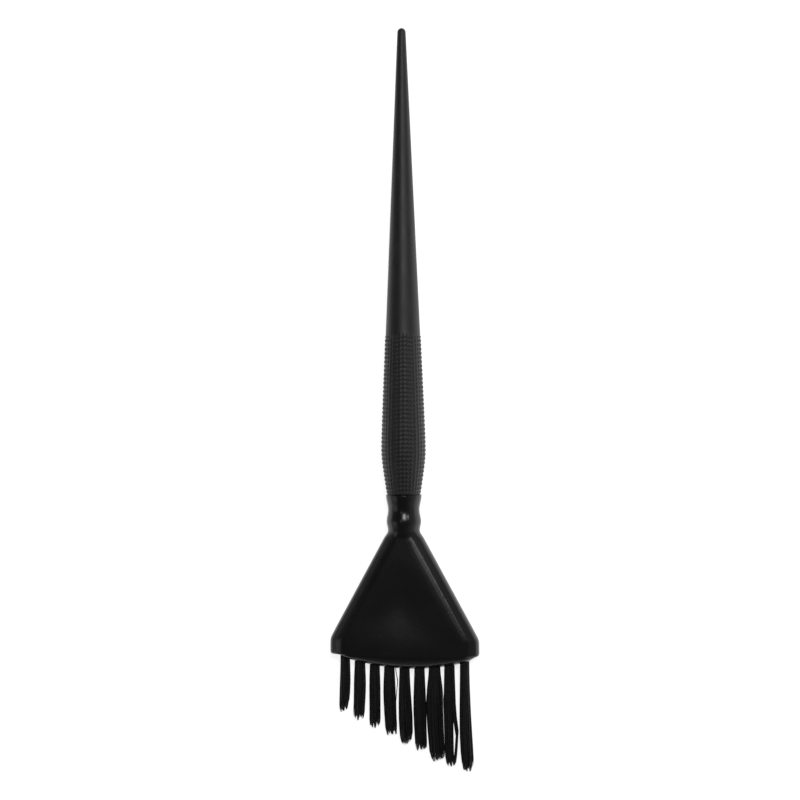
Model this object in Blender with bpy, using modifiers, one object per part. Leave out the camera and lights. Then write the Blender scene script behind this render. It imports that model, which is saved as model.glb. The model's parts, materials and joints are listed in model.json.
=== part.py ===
"""Hairdresser's tint brush: a tapered handle, a flat bevelled head and nine anchored bristle tufts.

Every piece is modelled upright, with the tail's tip up (+Z) and the front face towards -Y. One empty then
lays the whole brush on its back, as it rests on a table: front face up, tail towards +Y, bristles towards -Y.
A station is a distance from the tail's tip, measured along the brush.
"""

import math

import bmesh
import bpy
from mathutils import Matrix, Vector

MM = 0.001

# Overall
LENGTH = 230.0 * MM
GAP = 0.3 * MM
SHARP_ANGLE = math.radians(30)

# Handle
TIP_RADIUS = 1.2 * MM
TIP_SEGMENTS = 5
TAPER = 0.0437  # growth in radius for each metre along the tail
GRIP_START = 95.0 * MM
GRIP_STEP = 0.17 * MM
GRIP_RIDGE = 132.0 * MM
GRIP_RIDGE_REACH = 3.2 * MM
GRIP_RIDGE_SEGMENTS = 5
GRIP_END = 143.4 * MM
GRIP_END_RADIUS = 5.12 * MM
SHOULDER = 143.9 * MM
SPIGOT_RADIUS = 3.2 * MM
SPIGOT_END = 158.4 * MM
SPIGOT_CHAMFER = 0.5 * MM
HANDLE_STEPS = 40

# Head: collar and neck
COLLAR_TOP = SHOULDER + GAP
SOCKET_RADIUS = SPIGOT_RADIUS + GAP
SOCKET_END = SPIGOT_END + GAP
COLLAR_RADIUS = 5.55 * MM
WAIST = (149.0 * MM, 4.87 * MM)
BEAD = (152.5 * MM, 5.36 * MM)
NECK_END = (155.4 * MM, 4.94 * MM)
NECK_RINGS = 14

# Head: paddle
FLARE_ANGLE = math.radians(28.75)
HEAD_HALF_WIDTH = 23.5 * MM
HEAD_CORNER_SOFTNESS = 0.4 * MM
HEAD_HALF_THICKNESS = 4.3 * MM
SIDE_HALF_HEIGHT = 0.9 * MM
BEVEL_WIDTH = 3.65 * MM
FLAT_START = NECK_END[0] - 1.0 * MM
ROUND_TO_FLAT = 5.0 * MM
FLAT_RINGS = 5
CORNER_RINGS = [offset * MM for offset in (-2.2, -1.0, -0.2, 0.6, 1.8)]  # either side of the corner
HEAD_BOTTOM = 194.1 * MM
BOTTOM_EDGE = 0.5 * MM
BOTTOM_INSET = 0.6  # how far the bottom edge closes in for each metre down
FACE_SEGMENTS = 6
BEVEL_SEGMENTS = 3
NOSE_SEGMENTS = 5

# Head: half-round nose, whose ridge is crowned
NOSE_HEIGHT = 4.4 * MM
NOSE_CENTRE = 1.5 * MM
NOSE_HALF_LENGTH = 21.3 * MM
NOSE_CROWN_RADIUS = 65.0 * MM
NOSE_END_RUN = 2.0 * MM

# Tufts, holes and anchors
TUFT_COUNT = 9
TUFT_PITCH = 4.72 * MM
HOLE_RADIUS = 1.7 * MM
HOLE_END = 187.0 * MM
HOLE_MOUTH = 199.0 * MM
ROOT_RADIUS = 1.45 * MM
FIRST_TIP = 211.4 * MM
ANCHOR_STATION = 189.3 * MM
ANCHOR_SIZE = Vector((0.4, 4.0, 1.7)) * MM
ANCHOR_CLEARANCE = 0.25 * MM
ANCHOR_EDGE = 0.05 * MM
OVERCUT = 1.0 * MM  # how far a cutter runs past the surface it opens
TUFT_FOLD = 0.7  # the fold's radius, as a share of the root's
FOLD_RISE = 0.6 * MM
TUFT_FULLNESS = ((0.3, 0.9), (0.65, 1.0), (0.9, 0.85), (1.0, 0.5))  # (share of the free length, of the belly)
# Widest radius of each tuft, and how far its tip leans sideways, from the shortest tuft to the longest.
TUFT_BELLIES = [r * MM for r in (1.55, 1.70, 1.70, 1.80, 2.05, 1.85, 2.25, 1.85, 1.80)]
TUFT_LEANS = [x * MM for x in (-0.4, -0.2, 0.1, 0.5, 0.6, 0.6, 0.6, 0.5, 0.9)]


def clear_scene():
    for item in list(bpy.data.objects):
        bpy.data.objects.remove(item, do_unlink=True)


def collection(name):
    made = bpy.data.collections.new(name)
    bpy.context.scene.collection.children.link(made)
    return made


def material(name, colour, roughness, metallic=0.0):
    made = bpy.data.materials.new(name)
    made.use_nodes = True
    shader = made.node_tree.nodes["Principled BSDF"]
    shader.inputs["Base Color"].default_value = (*colour, 1.0)
    shader.inputs["Roughness"].default_value = roughness
    shader.inputs["Metallic"].default_value = metallic
    made.diffuse_color = (*colour, 1.0)
    return made


def height(station):
    """Upright height of a station, measured from the middle of the brush."""
    return LENGTH / 2 - station


def place(item, group, parent, finish):
    """Puts a mesh object in its collection, on its parent, with its material and smooth round sides."""
    for other in list(item.users_collection):
        other.objects.unlink(item)
    group.objects.link(item)
    item.parent = parent
    item.data.materials.clear()
    item.data.materials.append(finish)
    item.data.shade_smooth()
    item.data.set_sharp_from_angle(angle=SHARP_ANGLE)


def eased(start, end, station):
    """Radius on the smooth swell between two (station, radius) extremes."""
    share = (station - start[0]) / (end[0] - start[0])
    return start[1] + (end[1] - start[1]) * (1 - math.cos(math.pi * share)) / 2


def smooth_step(low, high, value):
    share = min(max((value - low) / (high - low), 0.0), 1.0)
    return share * share * (3 - 2 * share)


def rounded_corner(before, corner, after, reach, segments):
    """Points of the parabolic arc that rounds a corner, touching both sides at the given reach."""
    before, corner, after = Vector(before), Vector(corner), Vector(after)
    start = corner + (before - corner).normalized() * reach
    end = corner + (after - corner).normalized() * reach
    points = []
    for step in range(segments + 1):
        share = step / segments
        points.append(tuple(start.lerp(corner, share).lerp(corner.lerp(end, share), share)))
    return points


def cut(item, tool, parent):
    """Cuts a tool out of a piece. The tool rides on the same parent, in the cutters' collection."""
    for other in list(tool.users_collection):
        other.objects.unlink(tool)
    found = bpy.data.collections.get("cutters") or collection("cutters")
    found.objects.link(tool)
    tool.parent = parent
    tool.hide_render = True
    tool.display_type = "WIRE"
    modifier = item.modifiers.new(f"cut_{tool.name}", "BOOLEAN")
    modifier.operation = "DIFFERENCE"
    modifier.object = tool
    modifier.solver = "EXACT"


def meshed(item):
    """The mesh of a curve object, with its end caps welded on."""
    bpy.context.scene.collection.objects.link(item)
    bpy.context.view_layer.update()
    graph = bpy.context.evaluated_depsgraph_get()
    mesh = bpy.data.meshes.new_from_object(item.evaluated_get(graph))
    shape = bmesh.new()
    shape.from_mesh(mesh)
    bmesh.ops.remove_doubles(shape, verts=shape.verts, dist=0.00001)
    bmesh.ops.recalc_face_normals(shape, faces=shape.faces)
    shape.to_mesh(mesh)
    shape.free()
    name = item.name
    world = item.matrix_world.copy()
    bpy.data.objects.remove(item)
    made = bpy.data.objects.new(name, mesh)
    made.matrix_world = world
    bpy.context.scene.collection.objects.link(made)
    return made


def cylinder(name, radius, top, bottom, x=0.0, sides=24):
    """An upright cylinder between two stations."""
    bpy.ops.mesh.primitive_cylinder_add(
        vertices=sides,
        radius=radius,
        depth=bottom - top,
        location=(x, 0.0, height((top + bottom) / 2)),
    )
    item = bpy.context.object
    item.name = name
    return item


def block(name, size, x, station):
    """A box of the given size, centred at a station, with its scale applied."""
    bpy.ops.mesh.primitive_cube_add(size=1.0, location=(x, 0.0, height(station)))
    item = bpy.context.object
    item.name = name
    item.data.transform(Matrix.Diagonal((*size, 1.0)))
    return item


# ---------------------------------------------------------------- handle


def tail_radius(station):
    return TIP_RADIUS + TAPER * (station - TIP_RADIUS)


def handle_outline():
    """(station, radius) points from the tail's tip down the outside to the end of the spigot."""
    points = []
    for step in range(TIP_SEGMENTS):
        turn = math.pi / 2 * step / TIP_SEGMENTS
        points.append((TIP_RADIUS * (1 - math.cos(turn)), TIP_RADIUS * math.sin(turn)))
    points.append((TIP_RADIUS, TIP_RADIUS))
    points.append((GRIP_START, tail_radius(GRIP_START)))
    grip_top = (GRIP_START + GAP, tail_radius(GRIP_START) + GRIP_STEP)
    ridge = (GRIP_RIDGE, tail_radius(GRIP_RIDGE) + GRIP_STEP)
    grip_end = (GRIP_END, GRIP_END_RADIUS)
    points.append(grip_top)
    points += rounded_corner(grip_top, ridge, grip_end, GRIP_RIDGE_REACH, GRIP_RIDGE_SEGMENTS)
    points.append(grip_end)
    points.append((SHOULDER, GRIP_END_RADIUS - GRIP_STEP))
    points.append((SHOULDER, SPIGOT_RADIUS))
    points.append((SPIGOT_END - SPIGOT_CHAMFER, SPIGOT_RADIUS))
    points.append((SPIGOT_END, SPIGOT_RADIUS - SPIGOT_CHAMFER))
    points.append((SPIGOT_END, 0.0))
    return points


def turned(name, outline, steps):
    """A solid of revolution about the upright axis, from a (station, radius) outline."""
    mesh = bpy.data.meshes.new(name)
    points = [(radius, 0.0, height(station)) for station, radius in outline]
    edges = [(index, index + 1) for index in range(len(points) - 1)]
    mesh.from_pydata(points, edges, [])
    item = bpy.data.objects.new(name, mesh)
    bpy.context.scene.collection.objects.link(item)
    screw = item.modifiers.new("turn", "SCREW")
    screw.axis = "Z"
    screw.steps = steps
    screw.render_steps = steps
    screw.use_smooth_shade = True
    screw.use_merge_vertices = True
    screw.merge_threshold = 0.00001
    return item


# ---------------------------------------------------------------- head


def neck_radius(station):
    """Radius of the collar, waist and bead above the paddle."""
    if station < WAIST[0]:
        return eased((COLLAR_TOP, COLLAR_RADIUS), WAIST, station)
    if station < BEAD[0]:
        return eased(WAIST, BEAD, station)
    return eased(BEAD, NECK_END, min(station, NECK_END[0]))


def half_width(station):
    """Half-width of the paddle: a straight flare that rounds over into parallel sides."""
    flare = NECK_END[1] + (station - NECK_END[0]) * math.tan(FLARE_ANGLE)
    apart = flare - HEAD_HALF_WIDTH
    return (flare + HEAD_HALF_WIDTH - math.hypot(apart, HEAD_CORNER_SOFTNESS)) / 2


def bevelled_side(station):
    """(x, depth) points over the front of the flat section, from its right side to its left."""
    side = half_width(station)
    face = side - BEVEL_WIDTH
    corners = [(side, SIDE_HALF_HEIGHT), (face, HEAD_HALF_THICKNESS)]
    corners += [(-x, depth) for x, depth in reversed(corners)]
    points = [corners[0]]
    counts = (BEVEL_SEGMENTS, FACE_SEGMENTS, BEVEL_SEGMENTS)
    for start, end, count in zip(corners, corners[1:], counts):
        for step in range(1, count + 1):
            share = step / count
            x = start[0] + (end[0] - start[0]) * share
            depth = start[1] + (end[1] - start[1]) * share
            points.append((x, depth))
    return points


def round_side(station):
    """The same points on the round neck."""
    radius = neck_radius(station)
    side_turn = math.asin(SIDE_HALF_HEIGHT / radius)
    face_turn = math.acos((NECK_END[1] - BEVEL_WIDTH) / radius)
    stops = [side_turn, face_turn, math.pi - face_turn, math.pi - side_turn]
    turns = [stops[0]]
    counts = (BEVEL_SEGMENTS, FACE_SEGMENTS, BEVEL_SEGMENTS)
    for start, end, count in zip(stops, stops[1:], counts):
        turns += [start + (end - start) * step / count for step in range(1, count + 1)]
    return [(radius * math.cos(turn), radius * math.sin(turn)) for turn in turns]


def flatness(station):
    """0 on the round neck, 1 on the flat paddle."""
    return smooth_step(FLAT_START, FLAT_START + ROUND_TO_FLAT, station)


def front_points(station):
    """(x, depth) over the front of the head at a station, round at the neck and bevelled on the paddle."""
    flat = flatness(station)
    inset = max(0.0, station - (HEAD_BOTTOM - BOTTOM_EDGE)) * BOTTOM_INSET
    points = []
    for (x0, d0), (x1, d1) in zip(round_side(station), bevelled_side(max(station, NECK_END[0]))):
        x = x0 + (x1 - x0) * flat
        depth = d0 + (d1 - d0) * flat
        points.append((x * (1 - inset / HEAD_HALF_WIDTH), depth * (1 - inset / HEAD_HALF_THICKNESS)))
    return points


def ring(station):
    """Points round the head at a station, anticlockwise from above, starting at the right side."""
    back = front_points(station)
    side, corner_depth = back[0]
    right_edge, left_edge = [], []
    for step in range(1, NOSE_SEGMENTS):
        depth = corner_depth * (2 * step / NOSE_SEGMENTS - 1)
        bulge = (math.sqrt(side**2 + corner_depth**2 - depth**2) - side) * (1 - flatness(station))
        right_edge.append((side + bulge, depth))
        left_edge.append((-side - bulge, -depth))
    front = [(x, -depth) for x, depth in reversed(back)]
    return right_edge + back + left_edge + front


def nose_rise(x):
    """How far the nose's ridge stands below the paddle's bottom edge."""
    away = abs(x - NOSE_CENTRE)
    crown = NOSE_HEIGHT - away**2 / (2 * NOSE_CROWN_RADIUS)
    return crown * smooth_step(0.0, NOSE_END_RUN * 2, NOSE_HALF_LENGTH + NOSE_END_RUN / 2 - away)


def head_stations():
    """Stations of the head's rings, closest where its outline turns."""
    neck = [COLLAR_TOP + (NECK_END[0] - COLLAR_TOP) * step / NECK_RINGS for step in range(NECK_RINGS + 1)]
    blend = [NECK_END[0] + ROUND_TO_FLAT * step / FLAT_RINGS for step in range(1, FLAT_RINGS + 1)]
    corner_station = NECK_END[0] + (HEAD_HALF_WIDTH - NECK_END[1]) / math.tan(FLARE_ANGLE)
    corner = [corner_station + offset for offset in CORNER_RINGS]
    bottom = [HEAD_BOTTOM - BOTTOM_EDGE, HEAD_BOTTOM - BOTTOM_EDGE / 3, HEAD_BOTTOM]
    return neck + blend + corner + bottom


def head_shell():
    """Loft from the round collar to the bevelled paddle, closed below by the crowned nose."""
    shape = bmesh.new()
    rings = []
    for station in head_stations():
        rings.append([shape.verts.new((x, y, height(station))) for x, y in ring(station)])
    count = len(rings[0])
    for upper, lower in zip(rings, rings[1:]):
        for index in range(count):
            after = (index + 1) % count
            shape.faces.new((upper[index], lower[index], lower[after], upper[after]))
    shape.faces.new(rings[0])
    close_nose(shape, rings[-1])
    mesh = bpy.data.meshes.new("brush_head")
    shape.normal_update()
    shape.to_mesh(mesh)
    shape.free()
    item = bpy.data.objects.new("brush_head", mesh)
    bpy.context.scene.collection.objects.link(item)
    return item


def close_nose(shape, last):
    """Strips that run from the back of the last ring over the nose's ridge to its front."""
    edge = NOSE_SEGMENTS - 1
    across = 2 * BEVEL_SEGMENTS + FACE_SEGMENTS
    back_start = edge
    left_start = back_start + across + 1
    front_start = left_start + edge
    columns = []
    for column in range(across + 1):
        back = last[back_start + column]
        front = last[front_start + across - column]
        if column == 0:
            middle = [last[edge - 1 - step] for step in range(edge)]
        elif column == across:
            middle = [last[left_start + step] for step in range(edge)]
        else:
            middle = []
            for step in range(1, NOSE_SEGMENTS):
                turn = math.pi * step / NOSE_SEGMENTS
                drop = nose_rise(back.co.x) * math.sin(turn)
                middle.append(shape.verts.new((back.co.x, back.co.y * math.cos(turn), back.co.z - drop)))
        columns.append([back, *middle, front])
    for right, left in zip(columns, columns[1:]):
        for step in range(NOSE_SEGMENTS):
            shape.faces.new((right[step], right[step + 1], left[step + 1], left[step]))


def brush_head(group, parent, finish):
    """The head's shell, with its socket, nine blind tuft holes and the anchors' pockets cut out."""
    item = head_shell()
    cut(item, cylinder("socket", SOCKET_RADIUS, COLLAR_TOP - OVERCUT, SOCKET_END), parent)
    for index in range(TUFT_COUNT):
        hole = cylinder(f"tuft_hole_{index + 1}", HOLE_RADIUS, HOLE_END, HOLE_MOUTH + OVERCUT, tuft_x(index))
        cut(item, hole, parent)
        cut(item, anchor_space(f"anchor_pocket_{index + 1}", index), parent)
    place(item, group, parent, finish)


# ---------------------------------------------------------------- tufts and anchors


def tuft_x(index):
    return (index - (TUFT_COUNT - 1) / 2) * TUFT_PITCH


def anchor_space(name, index):
    """The room that an anchor takes up, with its clearance all round."""
    size = ANCHOR_SIZE + Vector((1, 1, 1)) * 2 * ANCHOR_CLEARANCE
    return block(name, size, tuft_x(index), ANCHOR_STATION)


def tuft_path(index):
    """(x, station, radius) points from the fold in the hole to the tuft's tip."""
    x, belly, lean = tuft_x(index), TUFT_BELLIES[index], TUFT_LEANS[index]
    tip = FIRST_TIP + index * (LENGTH - FIRST_TIP) / (TUFT_COUNT - 1)
    fold = HOLE_END + ANCHOR_CLEARANCE
    points = [(x, fold, ROOT_RADIUS * TUFT_FOLD), (x, fold + FOLD_RISE, ROOT_RADIUS)]
    points.append((x, HOLE_MOUTH, ROOT_RADIUS))
    for share, fullness in TUFT_FULLNESS:
        station = HOLE_MOUTH + (tip - HOLE_MOUTH) * share
        points.append((x + lean * share**2, station, belly * fullness))
    return points


def bristle_tuft(index, group, parent, finish):
    """A folded bundle of filaments: a swelling tube with a window for the anchor at its root."""
    name = f"bristle_tuft_{index + 1}"
    path = bpy.data.curves.new(name, "CURVE")
    path.dimensions = "3D"
    path.bevel_depth = ROOT_RADIUS
    path.bevel_resolution = 3
    path.use_fill_caps = True
    spline = path.splines.new("POLY")
    points = tuft_path(index)
    spline.points.add(len(points) - 1)
    for point, (x, station, radius) in zip(spline.points, points):
        point.co = (x, 0.0, height(station), 1.0)
        point.radius = radius / ROOT_RADIUS
    item = meshed(bpy.data.objects.new(name, path))
    cut(item, anchor_space(f"anchor_window_{index + 1}", index), parent)
    place(item, group, parent, finish)


def anchor_staple(index, group, parent, finish):
    """The flat metal anchor that holds a tuft's fold in its hole, standing across the head's thickness."""
    item = block(f"anchor_staple_{index + 1}", ANCHOR_SIZE, tuft_x(index), ANCHOR_STATION)
    edge = item.modifiers.new("edge", "BEVEL")
    edge.width = ANCHOR_EDGE
    edge.segments = 1
    place(item, group, parent, finish)


# ---------------------------------------------------------------- whole brush


def rest_tilt():
    """Angle at which the back of the grip and the heel of the head touch a table together."""
    heel = HEAD_BOTTOM - BOTTOM_EDGE
    return max(
        math.atan2(radius - HEAD_HALF_THICKNESS, heel - station)
        for station, radius in handle_outline()
        if station < GRIP_END
    )


def lying_pose(group):
    """The empty that lays the upright brush on its back, with the heel of the head on the ground."""
    tilt = rest_tilt()
    empty = bpy.data.objects.new("lying_pose", None)
    group.objects.link(empty)
    empty.rotation_euler = (tilt - math.pi / 2, 0.0, 0.0)
    heel_height = height(HEAD_BOTTOM - BOTTOM_EDGE)
    empty.location.z = HEAD_HALF_THICKNESS * math.cos(tilt) - heel_height * math.sin(tilt)
    return empty


def main():
    clear_scene()
    brush = collection("tint_brush")
    matte = material("handle_matte_black", (0.030, 0.030, 0.032), 0.62)
    gloss = material("head_gloss_black", (0.011, 0.011, 0.012), 0.30)
    nylon = material("bristle_black_nylon", (0.008, 0.008, 0.009), 0.45)
    brass = material("anchor_brass", (0.62, 0.48, 0.24), 0.35, 1.0)
    pose = lying_pose(brush)
    place(turned("handle", handle_outline(), HANDLE_STEPS), brush, pose, matte)
    brush_head(brush, pose, gloss)
    for index in range(TUFT_COUNT):
        bristle_tuft(index, brush, pose, nylon)
        anchor_staple(index, brush, pose, brass)


main()
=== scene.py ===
"""Looks of the tint brush: a matte handle with a knurled grip, a glossy bevelled head and nine tufts.

Pieces are made upright, with the tail's tip up and the front face towards -Y, and then laid down in the
CAD's pose. A station is a distance from the tail's tip, measured along the brush. Lengths are in metres
unless a comment says otherwise.
"""

import json
import math
import random

import bmesh
import bpy
from mathutils import Matrix, Vector


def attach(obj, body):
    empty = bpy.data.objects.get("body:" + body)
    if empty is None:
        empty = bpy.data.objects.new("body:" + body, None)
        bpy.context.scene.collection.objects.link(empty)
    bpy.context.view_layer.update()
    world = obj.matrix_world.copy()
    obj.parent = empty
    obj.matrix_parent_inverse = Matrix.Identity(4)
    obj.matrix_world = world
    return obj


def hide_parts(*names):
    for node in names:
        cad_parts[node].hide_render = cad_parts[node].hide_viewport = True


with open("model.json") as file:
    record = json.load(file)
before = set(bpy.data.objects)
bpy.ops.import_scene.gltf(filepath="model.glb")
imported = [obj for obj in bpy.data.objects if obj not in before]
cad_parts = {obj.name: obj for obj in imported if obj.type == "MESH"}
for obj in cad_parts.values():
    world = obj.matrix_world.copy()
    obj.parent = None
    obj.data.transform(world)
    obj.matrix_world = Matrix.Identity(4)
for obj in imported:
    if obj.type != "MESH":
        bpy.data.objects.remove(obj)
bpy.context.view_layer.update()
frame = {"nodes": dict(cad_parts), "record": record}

MM = 0.001

# ---------------------------------------------------------------- the CAD's frame

BACK_FACE = next(mount for mount in frame["record"]["mounts"] if mount["name"] == "back_face")
TILT = math.atan2(BACK_FACE["axis"][1], -BACK_FACE["axis"][2])
HEAD_HALF_THICKNESS = 4.3 * MM
LENGTH = 230.0 * MM


def lying_pose():
    """The matrix that lays the upright brush on its back, where the CAD has it."""
    turn = Matrix.Rotation(TILT - math.pi / 2, 4, "X")
    across, up = BACK_FACE["pos_m"][1], BACK_FACE["pos_m"][2]
    along = (across - HEAD_HALF_THICKNESS * math.sin(TILT)) / math.cos(TILT)
    lift = up + HEAD_HALF_THICKNESS * math.cos(TILT) - along * math.sin(TILT)
    return Matrix.Translation((0.0, 0.0, lift)) @ turn


POSE = lying_pose()


def height(station):
    """How high a station stands on the upright brush, whose middle is at zero."""
    return LENGTH / 2 - station


def smooth_step(low, high, value):
    """0 below low, 1 above high, with a soft S between them."""
    share = min(max((value - low) / (high - low), 0.0), 1.0)
    return share * share * (3 - 2 * share)


def eased(start, end, station):
    """Radius on the smooth swell between two (station, radius) extremes."""
    share = (station - start[0]) / (end[0] - start[0])
    return start[1] + (end[1] - start[1]) * (1 - math.cos(math.pi * share)) / 2


def spaced(start, end, count):
    """Evenly spaced stations from start to just before end."""
    return [start + (end - start) * step / count for step in range(count)]


def linked_object(name, data):
    """A new object in the scene."""
    item = bpy.data.objects.new(name, data)
    bpy.context.scene.collection.objects.link(item)
    return item


def stand_in(piece, node):
    """Ties a piece to the body and the CAD node that it takes the place of."""
    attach(piece, "root")
    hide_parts(node)


def smooth_piece(name, points, faces, finish):
    """A smooth-shaded mesh piece from upright points, laid in place."""
    mesh = bpy.data.meshes.new(name)
    mesh.from_pydata([POSE @ Vector(point) for point in points], [], faces)
    mesh.validate()
    mesh.materials.append(finish)
    mesh.shade_smooth()
    return linked_object(name, mesh)


# ---------------------------------------------------------------- materials

ALONG_BRUSH = (1.0, 0.05, 1.0)  # stretches a noise into lines along the brush, which lies along Y


class Nodes:
    """Short calls for building one material's node tree. A noise's scale is in waves per metre."""

    def __init__(self, name):
        self.material = bpy.data.materials.new(name)
        self.material.use_nodes = True
        self.tree = self.material.node_tree
        self.shader = self.tree.nodes["Principled BSDF"]

    def add(self, kind, inputs=None, **settings):
        """A node with its settings, and with values or links on its inputs."""
        node = self.tree.nodes.new(kind)
        for key, value in settings.items():
            setattr(node, key, value)
        for key, value in (inputs or {}).items():
            self.give(node.inputs[key], value)
        return node

    def give(self, socket, value):
        """Links or sets a socket."""
        if isinstance(value, bpy.types.NodeSocket):
            self.tree.links.new(value, socket)
        else:
            socket.default_value = value

    def place(self, scale):
        """Coordinates fixed to the piece, stretched by scale."""
        spot = self.add("ShaderNodeTexCoord")
        stretch = self.add("ShaderNodeMapping", {"Vector": spot.outputs["Object"], "Scale": scale})
        return stretch.outputs["Vector"]

    def noise(self, scale, detail, roughness=0.5, stretch=(1, 1, 1)):
        inputs = {"Scale": scale, "Detail": detail, "Roughness": roughness}
        inputs["Vector"] = self.place(stretch)
        return self.add("ShaderNodeTexNoise", inputs).outputs["Fac"]

    def ramp(self, value, low, high, to=(0.0, 1.0)):
        """Carries low to high over to the range given, and holds it at the ends."""
        inputs = {"Value": value, "From Min": low, "From Max": high, "To Min": to[0], "To Max": to[1]}
        return self.add("ShaderNodeMapRange", inputs).outputs["Result"]

    def times(self, first, second):
        return self.add("ShaderNodeMath", {0: first, 1: second}, operation="MULTIPLY").outputs["Value"]

    def plus(self, first, second):
        return self.add("ShaderNodeMath", {0: first, 1: second}, operation="ADD").outputs["Value"]

    def mix(self, share, first, second):
        """Between two colours, whose sockets are the mix node's inputs 6 and 7 and its output 2."""
        node = self.add("ShaderNodeMix", data_type="RGBA")
        self.give(node.inputs["Factor"], share)
        self.give(node.inputs[6], first)
        self.give(node.inputs[7], second)
        return node.outputs[2]

    def bump(self, value, distance, strength, before=None):
        """A normal that rises by distance; before is the normal that it adds to."""
        node = self.add("ShaderNodeBump", {"Height": value, "Distance": distance, "Strength": strength})
        if before is not None:
            self.give(node.inputs["Normal"], before)
        return node.outputs["Normal"]

    def finish(self, colour, roughness, normal=None):
        """The material, with its three worked-out inputs in place."""
        self.give(self.shader.inputs["Base Color"], colour)
        self.give(self.shader.inputs["Roughness"], roughness)
        if normal is not None:
            self.give(self.shader.inputs["Normal"], normal)
        return self.material


def grey(level, blueness=0.0):
    return (level, level, level * (1 + blueness), 1.0)


def handle_plastic():
    """Fine matte black: spark-eroded micro-texture, faint handling polish, a few pale specks."""
    n = Nodes("handle_matte_plastic")
    grain = n.noise(scale=9000, detail=2.0)
    mottle = n.noise(scale=160, detail=4.0, roughness=0.6)
    scuff = n.noise(scale=500, detail=6.0, roughness=0.7, stretch=(1, 0.12, 1))
    wear = n.ramp(scuff, 0.60, 0.78)
    colour = n.mix(n.ramp(mottle, 0.35, 0.65), grey(0.012, 0.03), grey(0.017, 0.03))
    colour = n.mix(n.times(wear, 0.35), colour, grey(0.035))
    roughness = n.plus(n.ramp(mottle, 0.3, 0.7, to=(0.42, 0.51)), n.times(wear, 0.10))
    normal = n.bump(grain, distance=0.03 * MM, strength=0.5)
    normal = n.bump(mottle, distance=0.08 * MM, strength=0.3, before=normal)
    return n.finish(colour, roughness, normal)


def head_plastic():
    """Satin-gloss black: slight orange peel, flow marks, hairline scuffs."""
    n = Nodes("head_gloss_plastic")
    peel = n.noise(scale=420, detail=3.0)
    flow = n.noise(scale=60, detail=3.0, roughness=0.55)
    hairline = n.noise(scale=900, detail=6.0, roughness=0.75, stretch=ALONG_BRUSH)
    scuff = n.ramp(hairline, 0.66, 0.80)
    colour = n.mix(n.ramp(flow, 0.35, 0.65), grey(0.0065, 0.05), grey(0.0090, 0.05))
    roughness = n.plus(n.ramp(flow, 0.3, 0.7, to=(0.20, 0.27)), n.times(scuff, 0.14))
    normal = n.bump(peel, distance=0.06 * MM, strength=0.35)
    normal = n.bump(hairline, distance=0.02 * MM, strength=0.2, before=normal)
    return n.finish(colour, roughness, normal)


def bristle_nylon():
    """Soft black filament: a slight sheen that varies from strand to strand."""
    n = Nodes("bristle_nylon")
    strand = n.noise(scale=5200, detail=2.0, stretch=(1.0, 0.02, 1.0))
    clump = n.noise(scale=900, detail=3.0, stretch=(1.0, 0.06, 1.0))
    dark, pale = (0.0040, 0.0038, 0.0045, 1), (0.0105, 0.0095, 0.0105, 1)
    colour = n.mix(n.ramp(strand, 0.35, 0.7), dark, pale)
    return n.finish(colour, n.ramp(clump, 0.3, 0.7, to=(0.36, 0.58)))


def anchor_brass():
    """Drawn brass strip: fine lengthwise draw lines and a dull brown bloom."""
    n = Nodes("anchor_brass")
    lines = n.noise(scale=9000, detail=3.0, roughness=0.6, stretch=(1.0, 1.0, 0.05))
    bloom = n.noise(scale=1200, detail=4.0, roughness=0.6)
    bright, dull = (0.62, 0.44, 0.18, 1), (0.30, 0.19, 0.08, 1)
    colour = n.mix(n.ramp(bloom, 0.4, 0.7), bright, dull)
    n.shader.inputs["Metallic"].default_value = 1.0
    normal = n.bump(lines, distance=0.01 * MM, strength=0.4)
    return n.finish(colour, n.ramp(lines, 0.3, 0.7, to=(0.25, 0.45)), normal)


# ---------------------------------------------------------------- handle

TIP_RADIUS = 1.3 * MM
TIP_SEGMENTS = 6
TAPER = 0.0435
TAIL_STEP = 2.0 * MM
GRIP_START = 95.0 * MM
GRIP_LEAD = 0.15 * MM
GRIP_SINK = 0.01 * MM  # how little the grip's ground lies under the tail's line
GRIP_RIDGE = 132.0 * MM
GRIP_RIDGE_SOFTNESS = 0.62 * MM
GRIP_END = 143.5 * MM
GRIP_END_RADIUS = 5.22 * MM
GRIP_RIM = 0.1 * MM
DOT_ROWS = 74
DOTS_ROUND = 32
DOT_HEIGHT = 0.20 * MM
DOT_FOOT, DOT_CROWN = -0.15, 0.85  # where a dot starts and tops out, on a wave from -1 to 1
POINTS_A_ROW = 4
POINTS_A_DOT = 7
SHOULDER = 144.1 * MM
SHOULDER_ROUNDING = [(0.15 * MM, 0.02 * MM), (0.04 * MM, 0.06 * MM), (0.0, 0.14 * MM)]
SPIGOT_RADIUS = 3.2 * MM
SPIGOT_FILLET = 0.2 * MM
SPIGOT_END = 158.4 * MM
SPIGOT_CHAMFER = 0.5 * MM


def tail_radius(station):
    """Radius of the straight taper below the tail's round tip."""
    return TIP_RADIUS + TAPER * (station - TIP_RADIUS)


def grip_radius(station):
    """The grip's double cone with its softly rounded ridge."""
    widening = tail_radius(station) - GRIP_SINK
    ridge_radius = tail_radius(GRIP_RIDGE) - GRIP_SINK
    slope = (ridge_radius - GRIP_END_RADIUS) / (GRIP_END - GRIP_RIDGE)
    narrowing = ridge_radius - slope * (station - GRIP_RIDGE)
    apart = widening - narrowing
    return (widening + narrowing - math.hypot(apart, GRIP_RIDGE_SOFTNESS)) / 2


def dot_relief(row, turn):
    """Height of the raised dots: lozenges in staggered rows."""
    crest = (math.cos(turn * DOTS_ROUND) + math.cos(math.pi * row)) / 2
    return DOT_HEIGHT * smooth_step(DOT_FOOT, DOT_CROWN, crest)


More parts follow.
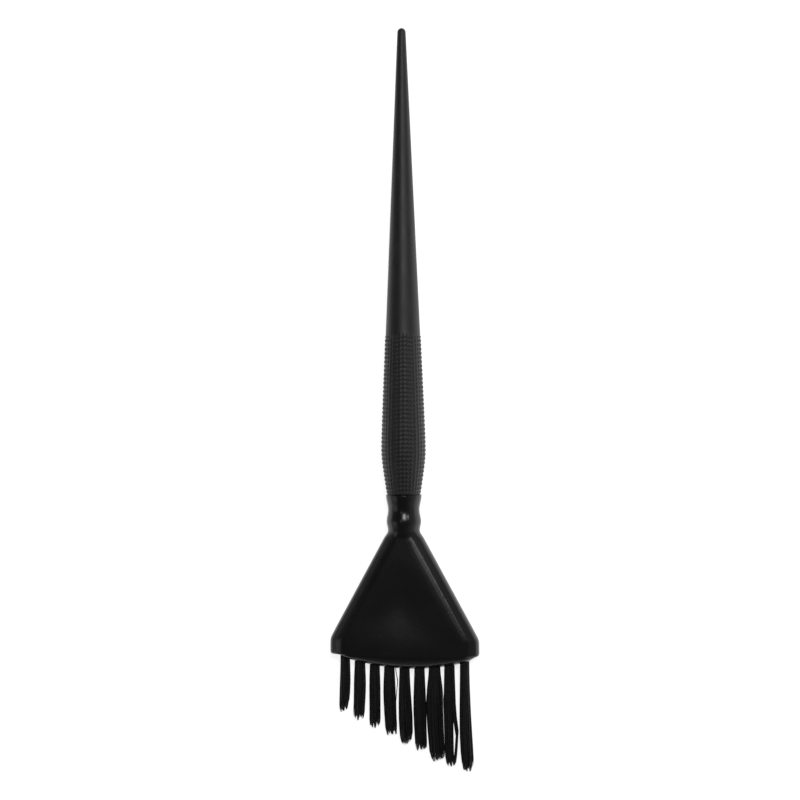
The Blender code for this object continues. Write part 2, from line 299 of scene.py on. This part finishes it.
def handle_rings():
    """(station, radius, row of dots or None) for each ring from the tip down to the spigot's end.

    The shoulder's rounding is given as how far each of its rings is above it and in from the grip's end.
    """
    rings = []
    for step in range(1, TIP_SEGMENTS + 1):
        turn = math.pi / 2 * step / TIP_SEGMENTS
        rings.append((TIP_RADIUS * (1 - math.cos(turn)), TIP_RADIUS * math.sin(turn), None))
    steps = round((GRIP_START - TIP_RADIUS) / TAIL_STEP)
    for step in range(1, steps + 1):
        station = TIP_RADIUS + (GRIP_START - TIP_RADIUS) * step / steps
        rings.append((station, tail_radius(station), None))
    start, count = GRIP_START + GRIP_LEAD, DOT_ROWS * POINTS_A_ROW
    for step in range(count + 1):
        station = start + (GRIP_END - start) * step / count
        rings.append((station, grip_radius(station), DOT_ROWS * step / count))
    rings.append((GRIP_END + GRIP_RIM, GRIP_END_RADIUS, None))
    for above, inward in SHOULDER_ROUNDING:
        rings.append((SHOULDER - above, GRIP_END_RADIUS - inward, None))
    rings.append((SHOULDER, SPIGOT_RADIUS + SPIGOT_FILLET, None))
    rings.append((SHOULDER + SPIGOT_FILLET, SPIGOT_RADIUS, None))
    rings.append((SPIGOT_END - SPIGOT_CHAMFER, SPIGOT_RADIUS, None))
    rings.append((SPIGOT_END, SPIGOT_RADIUS - SPIGOT_CHAMFER, None))
    return rings


def make_handle(finish):
    """The tail, grip, shoulder and spigot as one turned moulding, with the grip's dots raised on it."""
    count = DOTS_ROUND * POINTS_A_DOT
    rings = handle_rings()
    points = [(0.0, 0.0, height(0.0))]
    for station, radius, row in rings:
        for index in range(count):
            turn = 2 * math.pi * index / count
            far = radius + (dot_relief(row, turn) if row is not None else 0.0)
            points.append((far * math.cos(turn), far * math.sin(turn), height(station)))
    points.append((0.0, 0.0, height(SPIGOT_END)))
    faces = [(0, 1 + index, 1 + (index + 1) % count) for index in range(count)]
    for level in range(len(rings) - 1):
        upper, lower = 1 + level * count, 1 + (level + 1) * count
        for index in range(count):
            after = (index + 1) % count
            faces.append((upper + index, lower + index, lower + after, upper + after))
    last, middle = 1 + (len(rings) - 1) * count, len(points) - 1
    faces += [(last + (index + 1) % count, last + index, middle) for index in range(count)]
    stand_in(smooth_piece("handle_moulding", points, faces, finish), "handle")


# ---------------------------------------------------------------- head

COLLAR_TOP = 144.2 * MM
COLLAR_RADIUS = 5.55 * MM
COLLAR_EDGE = 0.20 * MM
WAIST = (149.0 * MM, 4.87 * MM)  # station and radius, as for the bead and the neck's end
BEAD = (152.5 * MM, 5.36 * MM)
NECK_END = (155.4 * MM, 4.94 * MM)
SOCKET_RADIUS = 3.5 * MM
SOCKET_CHAMFER = 0.15 * MM
SOCKET_END = 158.7 * MM
FLARE_ANGLE = math.radians(28.75)
HEAD_HALF_WIDTH = 23.5 * MM
HEAD_CORNER_SOFTNESS = 0.4 * MM
CORNER_START = 187.0 * MM
CORNER_END = 191.5 * MM
SIDE_HALF_HEIGHT = 1.8 * MM
SIDE_EDGE_REACH = (1.6 * MM, 1.4 * MM)
BEVEL_WIDTH = 3.65 * MM
CREASE_REACH = (1.5 * MM, 2.0 * MM)
MOST_REACH = 0.92  # how much of a side the rounding at its end may take; the one at its start takes half
BLEND_START = NECK_END[0] - 1.0 * MM
ROUND_TO_FLAT = 3.2 * MM
HEAD_BOTTOM = 194.1 * MM
BOTTOM_RADIUS = 0.9 * MM
BOTTOM_DRAW = 0.6  # how far in the bottom edge's rounding goes, against how far up it starts
DISH_DEPTH = 0.60 * MM
DISH_CENTRE = 178.0 * MM
DISH_REACH = 14.5 * MM
DISH_LEAST_HALF_WIDTH = 0.1 * MM
SEAM_HEIGHT = 0.035 * MM
NOSE_HEIGHT = 4.4 * MM
NOSE_CENTRE = 1.5 * MM
NOSE_HALF_LENGTH = 22.3 * MM
NOSE_FADE = 4.0 * MM
NOSE_CROWN_RADIUS = 65.0 * MM
SHARP_ANGLE = math.radians(32)

EDGE_SEGMENTS = 9
CREASE_SEGMENTS = 12
FACE_SEGMENTS = 20
NOSE_SEGMENTS = 22
LIP_RINGS = 5
NECK_RINGS = 34
BLEND_RINGS = 16
FLARE_RINGS = 28
CORNER_RINGS = 20
SIDE_RINGS = 3
SIDE_STEP = 0.5 * MM
BOTTOM_RINGS = 8

TUFT_COUNT = 9
TUFT_PITCH = 4.72 * MM
HOLE_RADIUS = 1.7 * MM
HOLE_SIDES = 64
HOLE_FLOOR = 187.0 * MM
CUTTER_END = 201.0 * MM


def neck_radius(station):
    """Radius of the collar, waist and bead above the paddle."""
    if station < WAIST[0]:
        return eased((COLLAR_TOP, COLLAR_RADIUS), WAIST, station)
    if station < BEAD[0]:
        return eased(WAIST, BEAD, station)
    return eased(BEAD, NECK_END, min(station, NECK_END[0]))


def half_width(station):
    """Half-width of the paddle: a straight flare that rounds over into parallel sides."""
    flare = NECK_END[1] + (station - NECK_END[0]) * math.tan(FLARE_ANGLE)
    apart = flare - HEAD_HALF_WIDTH
    return (flare + HEAD_HALF_WIDTH - math.hypot(apart, HEAD_CORNER_SOFTNESS)) / 2


def rounded_path(corners, reaches, counts):
    """Points along a bent line whose inner corners are rounded, each with its place in corners passed.

    A corner's two reaches say how far before and after it its parabolic arc starts and ends. The counts
    are the points on the straight line to each corner and round its arc.
    """
    corners = [Vector(corner) for corner in corners]
    leave, leave_place = corners[0], 0.0
    path = [(leave, leave_place)]
    for index in range(1, len(corners)):
        corner, last = corners[index], index == len(corners) - 1
        length = (corner - corners[index - 1]).length
        before, after = (0.0, 0.0) if last else reaches[index - 1]
        reach = min(before / length, MOST_REACH)
        enter, enter_place = corner.lerp(corners[index - 1], reach), index - reach
        straight, bend = counts[index - 1]
        for step in range(1, straight + 1):
            share = step / straight
            path.append((leave.lerp(enter, share), leave_place + (enter_place - leave_place) * share))
        if last:
            break
        next_length = (corners[index + 1] - corner).length
        reach = min(after / next_length, MOST_REACH / 2)
        leave, leave_place = corner.lerp(corners[index + 1], reach), index + reach
        for step in range(1, bend + 1):
            share = step / bend
            point = enter.lerp(corner, share).lerp(corner.lerp(leave, share), share)
            path.append((point, enter_place + (leave_place - enter_place) * share))
    return path


def flat_quarter(station):
    """A quarter of the paddle's section, from the middle of its side to the middle of its face."""
    side = half_width(station)
    corners = [(side, 0), (side, SIDE_HALF_HEIGHT), (side - BEVEL_WIDTH, HEAD_HALF_THICKNESS)]
    corners.append((0, HEAD_HALF_THICKNESS))
    counts = [(1, EDGE_SEGMENTS), (1, CREASE_SEGMENTS), (FACE_SEGMENTS, 0)]
    return rounded_path(corners, [SIDE_EDGE_REACH, CREASE_REACH], counts)


def round_point(radius, place):
    """The point on the round neck that belongs to a place on the flat section."""
    side_turn = math.asin(SIDE_HALF_HEIGHT / radius)
    face_turn = math.acos((NECK_END[1] - BEVEL_WIDTH) / radius)
    stops = [0.0, side_turn, face_turn, math.pi / 2]
    zone = min(int(place), 2)
    turn = stops[zone] + (stops[zone + 1] - stops[zone]) * (place - zone)
    return Vector((radius * math.cos(turn), radius * math.sin(turn)))


def quarter(station):
    """A quarter of the head's section at a station, round at the neck and bevelled on the paddle."""
    flatness = smooth_step(BLEND_START, BLEND_START + ROUND_TO_FLAT, station)
    radius = neck_radius(station)
    lip = max(0.0, COLLAR_TOP + COLLAR_EDGE - station) / COLLAR_EDGE
    radius -= COLLAR_EDGE * (1 - math.sqrt(max(0.0, 1 - lip**2)))
    points = []
    for point, place in flat_quarter(max(station, NECK_END[0])):
        point = round_point(radius, place).lerp(point, flatness)
        seam = SEAM_HEIGHT if place == 0 else 0.0
        points.append((point.x + seam, point.y))
    return points


def bottom_inset(station):
    """How far the rounding of the paddle's bottom edge draws in."""
    drop = max(0.0, station - (HEAD_BOTTOM - BOTTOM_RADIUS)) / BOTTOM_RADIUS
    return BOTTOM_DRAW * BOTTOM_RADIUS * (1 - math.sqrt(max(0.0, 1 - drop**2)))


def nose_share(x):
    """1 along the nose, fading to 0 at its ends."""
    return smooth_step(0.0, NOSE_FADE, NOSE_HALF_LENGTH - abs(x - NOSE_CENTRE))


def dish(x, station):
    """How far the front face sinks in under the thumb."""
    reach = max(half_width(station) - BEVEL_WIDTH - CREASE_REACH[1], DISH_LEAST_HALF_WIDTH)
    across = smooth_step(0.0, 1.0, 1 - abs(x) / reach)
    along = smooth_step(0.0, 1.0, 1 - abs(station - DISH_CENTRE) / DISH_REACH)
    return DISH_DEPTH * across * along


def head_ring(station):
    """Points round the head, anticlockwise from above, starting at the middle of the right side."""
    points = quarter(station)
    inset = bottom_inset(station)
    half = points + [(-x, depth) for x, depth in reversed(points[:-1])]
    back = []
    for x, depth in half:
        thinning = inset * (1 - nose_share(x)) / HEAD_HALF_THICKNESS
        back.append((x * (1 - inset / HEAD_HALF_WIDTH), depth * (1 - thinning)))
    front = [(x, dish(x, station) - depth) for x, depth in reversed(back[1:-1])]
    return back + front


def nose_rise(x):
    """How far the nose's ridge stands below the paddle's bottom edge."""
    away = abs(x - NOSE_CENTRE)
    return (NOSE_HEIGHT - away**2 / (2 * NOSE_CROWN_RADIUS)) * nose_share(x)


def head_stations():
    """Stations of the head's rings, closest where its outline turns."""
    lip_end = COLLAR_TOP + COLLAR_EDGE
    blend_end = NECK_END[0] + ROUND_TO_FLAT
    bottom_start = HEAD_BOTTOM - BOTTOM_RADIUS
    stations = spaced(COLLAR_TOP, lip_end, LIP_RINGS)
    stations += spaced(lip_end, NECK_END[0], NECK_RINGS)
    stations += spaced(NECK_END[0], blend_end, BLEND_RINGS)
    stations += spaced(blend_end, CORNER_START, FLARE_RINGS)
    stations += spaced(CORNER_START, CORNER_END, CORNER_RINGS)
    stations += [CORNER_END + SIDE_STEP * step for step in range(SIDE_RINGS)]
    stations += spaced(bottom_start, HEAD_BOTTOM, BOTTOM_RINGS)
    return stations + [HEAD_BOTTOM]


def close_nose(shape, ring):
    """Columns that run from the back of the last ring over the nose's ridge to its front."""
    count = len(ring)
    columns = []
    for column in range(count // 2 + 1):
        back, front = ring[column], ring[-column % count]
        if back == front:
            columns.append([back])
            continue
        middle = []
        for step in range(1, NOSE_SEGMENTS):
            turn = math.pi * step / NOSE_SEGMENTS
            drop = nose_rise(back.co.x) * math.sin(turn)
            middle.append(shape.verts.new((back.co.x, back.co.y * math.cos(turn), back.co.z - drop)))
        columns.append([back, *middle, front])
    for right, left in zip(columns, columns[1:]):
        for step in range(NOSE_SEGMENTS):
            corners = [right[min(step, len(right) - 1)], right[min(step + 1, len(right) - 1)]]
            corners += [left[min(step + 1, len(left) - 1)], left[min(step, len(left) - 1)]]
            shape.faces.new(list(dict.fromkeys(corners)))


def socket_wall(shape, lip):
    """The socket for the handle's spigot, from the collar's rim down to its flat floor."""
    count = len(lip)
    mouth = (SOCKET_RADIUS + SOCKET_CHAMFER, COLLAR_TOP)
    throat = (SOCKET_RADIUS, COLLAR_TOP + SOCKET_CHAMFER)
    previous = lip
    for radius, station in (mouth, throat, (SOCKET_RADIUS, SOCKET_END)):
        ring = []
        for vertex in lip:
            turn = math.atan2(vertex.co.y, vertex.co.x)
            point = (radius * math.cos(turn), radius * math.sin(turn), height(station))
            ring.append(shape.verts.new(point))
        for index in range(count):
            after = (index + 1) % count
            shape.faces.new((ring[index], previous[index], previous[after], ring[after]))
        previous = ring
    shape.faces.new(previous)


def tuft_x(index):
    """How far to the right a tuft's hole is."""
    return (index - (TUFT_COUNT - 1) / 2) * TUFT_PITCH


def hole_cutter(index):
    """The drill that leaves a tuft's blind hole, in place in the CAD's pose."""
    shape = bmesh.new()
    sizes = {"radius1": HOLE_RADIUS, "radius2": HOLE_RADIUS, "depth": CUTTER_END - HOLE_FLOOR}
    bmesh.ops.create_cone(shape, cap_ends=True, segments=HOLE_SIDES, **sizes)
    middle = height((HOLE_FLOOR + CUTTER_END) / 2)
    shape.transform(POSE @ Matrix.Translation((tuft_x(index), 0.0, middle)))
    name = f"hole_{index + 1}"
    mesh = bpy.data.meshes.new(name)
    shape.to_mesh(mesh)
    shape.free()
    return linked_object(name, mesh)


def drill(piece, cutters):
    """Cuts the cutters out of a piece and removes them."""
    for cutter in cutters:
        hole = piece.modifiers.new(cutter.name, "BOOLEAN")
        hole.object = cutter
        hole.solver = "EXACT"
    bpy.context.view_layer.update()
    graph = bpy.context.evaluated_depsgraph_get()
    mesh = bpy.data.meshes.new_from_object(piece.evaluated_get(graph))
    piece.modifiers.clear()
    piece.data = mesh
    for cutter in cutters:
        bpy.data.objects.remove(cutter)


def head_shell(shape):
    """The head's closed surface, still without the tuft holes, laid in the CAD's pose."""
    rings = []
    for station in head_stations():
        rings.append([shape.verts.new((x, depth, height(station))) for x, depth in head_ring(station)])
    count = len(rings[0])
    for upper, lower in zip(rings, rings[1:]):
        for index in range(count):
            after = (index + 1) % count
            shape.faces.new((upper[index], lower[index], lower[after], upper[after]))
    socket_wall(shape, rings[0])
    close_nose(shape, rings[-1])
    bmesh.ops.recalc_face_normals(shape, faces=shape.faces)
    shape.transform(POSE)


def make_head(finish):
    """The collar, neck and bevelled paddle as one moulding, with its socket and its nine blind holes."""
    shape = bmesh.new()
    head_shell(shape)
    mesh = bpy.data.meshes.new("brush_head_moulding")
    shape.to_mesh(mesh)
    shape.free()
    mesh.materials.append(finish)
    piece = linked_object("brush_head_moulding", mesh)
    drill(piece, [hole_cutter(index) for index in range(TUFT_COUNT)])
    piece.data.shade_smooth()
    piece.data.set_sharp_from_angle(angle=SHARP_ANGLE)
    stand_in(piece, "brush_head")


# ---------------------------------------------------------------- tufts

FILAMENTS = 170
FILAMENT_SIDES = 5
FILAMENT_RADIUS = 0.10 * MM
FILAMENT_TIP_RADIUS = 0.045 * MM
FILAMENT_POINT = 1.7 * MM
FREE_STEPS = 7
GOLDEN_ANGLE = math.pi * (3 - math.sqrt(5))
PLACE_JITTER = 0.04  # of the tuft's radius

FOLD_STATION = 187.5 * MM
ANCHOR_TOP = 188.3 * MM
ANCHOR_BOTTOM = 190.4 * MM
ANCHOR_HALF_WIDTH = 0.36 * MM
ANCHOR_PINCH = 0.7  # how closely strands pack beside the anchor, against at the mouth of the hole
FOLD_PINCH = 0.25  # how far off the middle a strand is at its fold, against where it passes the anchor
EXIT_STATION = 196.0 * MM

FIRST_TIP = 211.4 * MM
TIP_ROUNDING = 0.8 * MM  # how much shorter the outermost filaments are
TIP_RAGGEDNESS = 1.3 * MM  # how much shorter a stray filament may be
CLUMPS = 9
CLUMP_TURN_JITTER = 0.25
CLUMP_PLACES = (0.62, 0.78)
CLUMP_DRIFT = 1.6 * MM  # how far apart the clumps of one tuft may end

# How far a strand keeps to its own place in the tuft, and how far it goes to its clump's.
AT_BELLY = (0.92, 0.08)
AT_END = (0.78, 0.16)
AT_PRONG = (0.40, 0.54)
GATHER_START = 0.5  # of the free length, at the earliest

STRAY = 0.12 * MM
STRAY_FORWARD, STRAY_BACK = -1, 0.6
WAVE_HEIGHTS = (0.02 * MM, 0.06 * MM)
WAVE_ACROSS, WAVE_DEPTH = 7, 5  # radians along the free length
SEED = 700


class Lock:
    """A lock of strands that strays to the right and comes back.

    edge is the share of the tuft's radius beyond which strands join it, place and length are where along
    the tuft it strays and over how long a share, and reach is how far out it goes, in millimetres.
    """

    BUNCHING = 0.3  # how much narrower the lock is where it strays furthest

    def __init__(self, edge, place, length, reach):
        self.edge = edge
        self.place = place
        self.length = length
        self.reach = reach * MM

    def stray(self, x, share):
        """Where a strand of the lock runs instead of at x."""
        pull = math.exp(-(((share - self.place) / self.length) ** 2))
        return x + pull * (self.reach - self.BUNCHING * x)


class Tuft:
    """How one tuft spreads and leans.

    root and belly are its radius where it leaves its hole and where it is widest, lean is how far its tip
    leans to the right, and extra is how far it reaches past the slanting line of tips, all in millimetres.
    swell is the share of its free length by which it is widest.
    """

    def __init__(self, root, belly, lean, extra, swell=0.45, lock=None):
        self.root = root * MM
        self.belly = belly * MM
        self.lean = lean * MM
        self.extra = extra * MM
        self.swell = swell
        self.lock = lock


SLIGHT_LOCK = Lock(edge=0.88, place=0.28, length=0.16, reach=1.30)
STRAY_LOCK = Lock(edge=0.45, place=0.74, length=0.16, reach=1.35)

TUFTS = [
    Tuft(root=1.40, belly=1.60, lean=-0.55, extra=1.3),
    Tuft(root=1.56, belly=1.86, lean=-0.45, extra=1.3),
    Tuft(root=1.50, belly=1.74, lean=0.0, extra=1.3),
    Tuft(root=1.56, belly=1.98, lean=0.5, extra=1.2, lock=SLIGHT_LOCK),
    Tuft(root=1.52, belly=2.20, lean=0.6, extra=1.5, swell=0.75),
    Tuft(root=1.50, belly=2.02, lean=0.5, extra=1.2, swell=0.60),
    Tuft(root=1.58, belly=2.72, lean=0.9, extra=1.8),
    Tuft(root=1.54, belly=1.90, lean=0.4, extra=1.0, lock=STRAY_LOCK),
    Tuft(root=1.38, belly=1.95, lean=0.9, extra=0.0, swell=0.80),
]


def clump_centres(rng):
    """Where a tuft's clumps gather, as shares of its radius: one in the middle and the rest round it."""
    turn = rng.uniform(0, 2 * math.pi)
    centres = [Vector((0.0, 0.0))]
    for index in range(CLUMPS - 1):
        jitter = rng.uniform(-CLUMP_TURN_JITTER, CLUMP_TURN_JITTER)
        angle = turn + 2 * math.pi * index / (CLUMPS - 1) + jitter
        centres.append(Vector((math.cos(angle), math.sin(angle))) * rng.uniform(*CLUMP_PLACES))
    return centres


def tip_station(tuft, index, spot, drift, rng):
    """Where a filament ends: on the slanting line of tips, but for the tuft's own reach and ragged end."""
    slant = FIRST_TIP + index * (LENGTH - FIRST_TIP) / (TUFT_COUNT - 1)
    short = TIP_ROUNDING * spot.length**3 + TIP_RAGGEDNESS * rng.random() ** 3
    return slant + tuft.extra - drift - short


def folded_root(x, root):
    """Upright points of a filament's fold over the anchor and its run down beside it."""
    side = math.copysign(1, root.x or 1)
    beside = side * (ANCHOR_HALF_WIDTH + abs(root.x) * ANCHOR_PINCH)
    fold = Vector((x + beside * FOLD_PINCH, root.y, height(FOLD_STATION)))
    passing = [Vector((x + beside, root.y, height(station))) for station in (ANCHOR_TOP, ANCHOR_BOTTOM)]
    return [fold, *passing]


def filament_path(tuft, index, spot, clump, drift, rng):
    """Upright points of one filament, from its fold round the anchor to its tip."""
    x = tuft_x(index)
    length = tip_station(tuft, index, spot, drift, rng) - EXIT_STATION
    root = spot * tuft.root
    places = (AT_BELLY, AT_END, AT_PRONG)
    belly, end, prong = [(spot * own + clump * shared) * tuft.belly for own, shared in places]
    stray = Vector((rng.uniform(-1, 1), rng.uniform(STRAY_FORWARD, STRAY_BACK))) * STRAY
    wave, phase = rng.uniform(*WAVE_HEIGHTS), rng.uniform(0, 2 * math.pi)
    shares = [step / FREE_STEPS for step in range(FREE_STEPS)]
    shares += [1 - FILAMENT_POINT / length, 1.0]
    path = folded_root(x, root)
    for share in shares:
        spread = smooth_step(0.0, tuft.swell, share)
        gather = smooth_step(max(GATHER_START, tuft.swell), 1.0, share)
        at = root.lerp(belly, spread).lerp(prong if share == 1.0 else end, gather) + stray * share**2
        at.x += wave * math.sin(phase + WAVE_ACROSS * share) * share
        at.y += wave * math.cos(phase + WAVE_DEPTH * share) * share
        at.x += tuft.lean * share**3
        if tuft.lock and spot.x > tuft.lock.edge:
            at.x = tuft.lock.stray(at.x, share)
        path.append(Vector((x + at.x, at.y, height(EXIT_STATION + length * share))))
    return path


def tube(points, faces, path):
    """Adds a closed tube along a path, pointed at its tip."""
    base = len(points)
    turns = [2 * math.pi * side / FILAMENT_SIDES for side in range(FILAMENT_SIDES)]
    for level, centre in enumerate(path):
        radius = FILAMENT_TIP_RADIUS if level == len(path) - 1 else FILAMENT_RADIUS
        points += [centre + Vector((math.cos(turn), math.sin(turn), 0.0)) * radius for turn in turns]
    for level in range(len(path) - 1):
        upper, lower = base + level * FILAMENT_SIDES, base + (level + 1) * FILAMENT_SIDES
        for side in range(FILAMENT_SIDES):
            after = (side + 1) % FILAMENT_SIDES
            faces.append((upper + side, lower + side, lower + after, upper + after))
    faces.append(tuple(base + side for side in range(FILAMENT_SIDES)))
    last = base + (len(path) - 1) * FILAMENT_SIDES
    faces.append(tuple(last + side for side in reversed(range(FILAMENT_SIDES))))


def make_tuft(index, finish):
    """One tuft of separate filaments, which gather into clumps at their tips."""
    rng = random.Random(SEED + index)
    centres = clump_centres(rng)
    drifts = [rng.uniform(0.0, CLUMP_DRIFT) for _ in centres]
    drifts = [drift - min(drifts) for drift in drifts]
    points, faces = [], []
    for number in range(FILAMENTS):
        reach, angle = math.sqrt((number + 0.5) / FILAMENTS), GOLDEN_ANGLE * number
        spot = Vector((reach * math.cos(angle), reach * math.sin(angle)))
        spot += Vector((rng.uniform(-1, 1), rng.uniform(-1, 1))) * PLACE_JITTER
        home = min(range(CLUMPS), key=lambda place: (centres[place] - spot).length)
        tube(points, faces, filament_path(TUFTS[index], index, spot, centres[home], drifts[home], rng))
    piece = smooth_piece(f"tuft_filaments_{index + 1}", points, faces, finish)
    stand_in(piece, f"bristle_tuft_{index + 1}")


# ---------------------------------------------------------------- stage, light and camera

CAMERA_YAW = math.radians(10.5)
CAMERA_PITCH = math.radians(1.5)
CAMERA_ROLL = math.radians(0.28)
CAMERA_DISTANCE = 0.60
CAMERA_LENS = 87.0  # millimetres, as is the sensor
CAMERA_SENSOR = 36.0
CAMERA_CLIP_START = 0.01
AIM = Vector((-1.03, 0.0, 0.15)) * MM
FLOOR_HALF_WIDTH = 3.0
HORIZON_GLOW, OVERHEAD_GLOW = 0.34, 0.065
OVERHEAD_START = 0.8  # how high up the overhead glow begins, on a scale of 1 at the zenith
LEFT_SHARE, RIGHT_SHARE = 0.7, 1.25


def make_floor():
    """A wide pale sweep under the brush, faintly lit from within like a light table."""
    half = FLOOR_HALF_WIDTH
    corners = [(-half, -half, 0), (half, -half, 0), (half, half, 0), (-half, half, 0)]
    mesh = bpy.data.meshes.new("studio_floor")
    mesh.from_pydata(corners, [], [(0, 1, 2, 3)])
    finish = bpy.data.materials.new("floor_white")
    finish.use_nodes = True
    shader = finish.node_tree.nodes["Principled BSDF"]
    shader.inputs["Base Color"].default_value = (0.86, 0.86, 0.86, 1)
    shader.inputs["Roughness"].default_value = 0.8
    shader.inputs["Specular IOR Level"].default_value = 0.1
    shader.inputs["Emission Color"].default_value = (1, 1, 1, 1)
    shader.inputs["Emission Strength"].default_value = 0.80
    mesh.materials.append(finish)
    linked_object("studio_floor", mesh)


def map_range(tree, value, low, high, to):
    """A world node that carries low to high over to another range."""
    node = tree.nodes.new("ShaderNodeMapRange")
    for name, number in zip(("From Min", "From Max", "To Min", "To Max"), (low, high, *to)):
        node.inputs[name].default_value = number
    tree.links.new(value, node.inputs["Value"])
    return node.outputs["Result"]


def make_world():
    """A soft studio room: dark overhead, paler towards the horizon and to the right."""
    world = bpy.data.worlds.new("studio_room")
    bpy.context.scene.world = world
    world.use_nodes = True
    tree = world.node_tree
    spot = tree.nodes.new("ShaderNodeTexCoord")
    split = tree.nodes.new("ShaderNodeSeparateXYZ")
    tree.links.new(spot.outputs["Generated"], split.inputs["Vector"])
    fade = map_range(tree, split.outputs["Z"], 0.0, OVERHEAD_START, to=(HORIZON_GLOW, OVERHEAD_GLOW))
    slope = map_range(tree, split.outputs["X"], -1.0, 1.0, to=(LEFT_SHARE, RIGHT_SHARE))
    shade = tree.nodes.new("ShaderNodeMath")
    shade.operation = "MULTIPLY"
    tree.links.new(fade, shade.inputs[0])
    tree.links.new(slope, shade.inputs[1])
    back = tree.nodes["Background"]
    back.inputs["Color"].default_value = (1, 1, 1, 1)
    tree.links.new(shade.outputs["Value"], back.inputs["Strength"])


def softbox(name, sideways, tailward, distance, size, radiance):
    """An area light aimed at the brush.

    It leans from overhead to the right and to the tail by two angles in degrees. Its size is across and
    along the brush.
    """
    data = bpy.data.lights.new(name, "AREA")
    data.shape = "RECTANGLE"
    data.size, data.size_y = size
    data.energy = radiance * math.pi * size[0] * size[1]
    lean = (math.tan(math.radians(sideways)), math.tan(math.radians(tailward)), 1.0)
    away = Vector(lean).normalized()
    across = Vector((0.0, 1.0, 0.0)).cross(away).normalized()
    axes = Matrix((across, away.cross(across), away)).transposed().to_4x4()
    linked_object(name, data).matrix_world = Matrix.Translation(away * distance) @ axes


def make_lights():
    """A lamp for the handle's stripe, a glow for the face, a key for the right crease, and a fill."""
    softbox("overhead_lamp", sideways=14, tailward=15, distance=0.80, size=(0.26, 0.15), radiance=11.0)
    softbox("ceiling_glow", sideways=-7, tailward=-1.5, distance=1.00, size=(0.14, 0.14), radiance=1.8)
    softbox("key_right", sideways=39, tailward=24, distance=0.90, size=(0.17, 0.15), radiance=8.5)
    softbox("fill_left", sideways=-58, tailward=-30, distance=1.00, size=(0.70, 0.42), radiance=0.50)


def make_camera():
    """Above the brush, a little to its right, with the tail's tip at the top of the picture."""
    data = bpy.data.cameras.new("studio_camera")
    data.lens = CAMERA_LENS
    data.sensor_width = CAMERA_SENSOR
    data.clip_start = CAMERA_CLIP_START
    level = math.cos(CAMERA_PITCH)
    away = Vector((math.sin(CAMERA_YAW) * level, -math.cos(CAMERA_YAW) * level, math.sin(CAMERA_PITCH)))
    right = Vector((0, 0, 1)).cross(away).normalized()
    axes = Matrix((right, away.cross(right), away)).transposed().to_4x4()
    turned = POSE @ Matrix.Translation(AIM + away * CAMERA_DISTANCE) @ axes
    camera = linked_object("studio_camera", data)
    camera.matrix_world = turned @ Matrix.Rotation(-CAMERA_ROLL, 4, "Z")
    bpy.context.scene.camera = camera


def finish_anchors(brass):
    """Gives the anchors, which keep their CAD shape, their metal."""
    for index in range(TUFT_COUNT):
        anchor = frame["nodes"][f"anchor_staple_{index + 1}"]
        anchor.data.materials.clear()
        anchor.data.materials.append(brass)


make_camera()
make_floor()
make_world()
make_lights()
bpy.context.scene.view_settings.view_transform = "Standard"

make_handle(handle_plastic())
make_head(head_plastic())
nylon = bristle_nylon()
for tuft_index in range(TUFT_COUNT):
    make_tuft(tuft_index, nylon)
finish_anchors(anchor_brass())

bpy.context.view_layer.update()
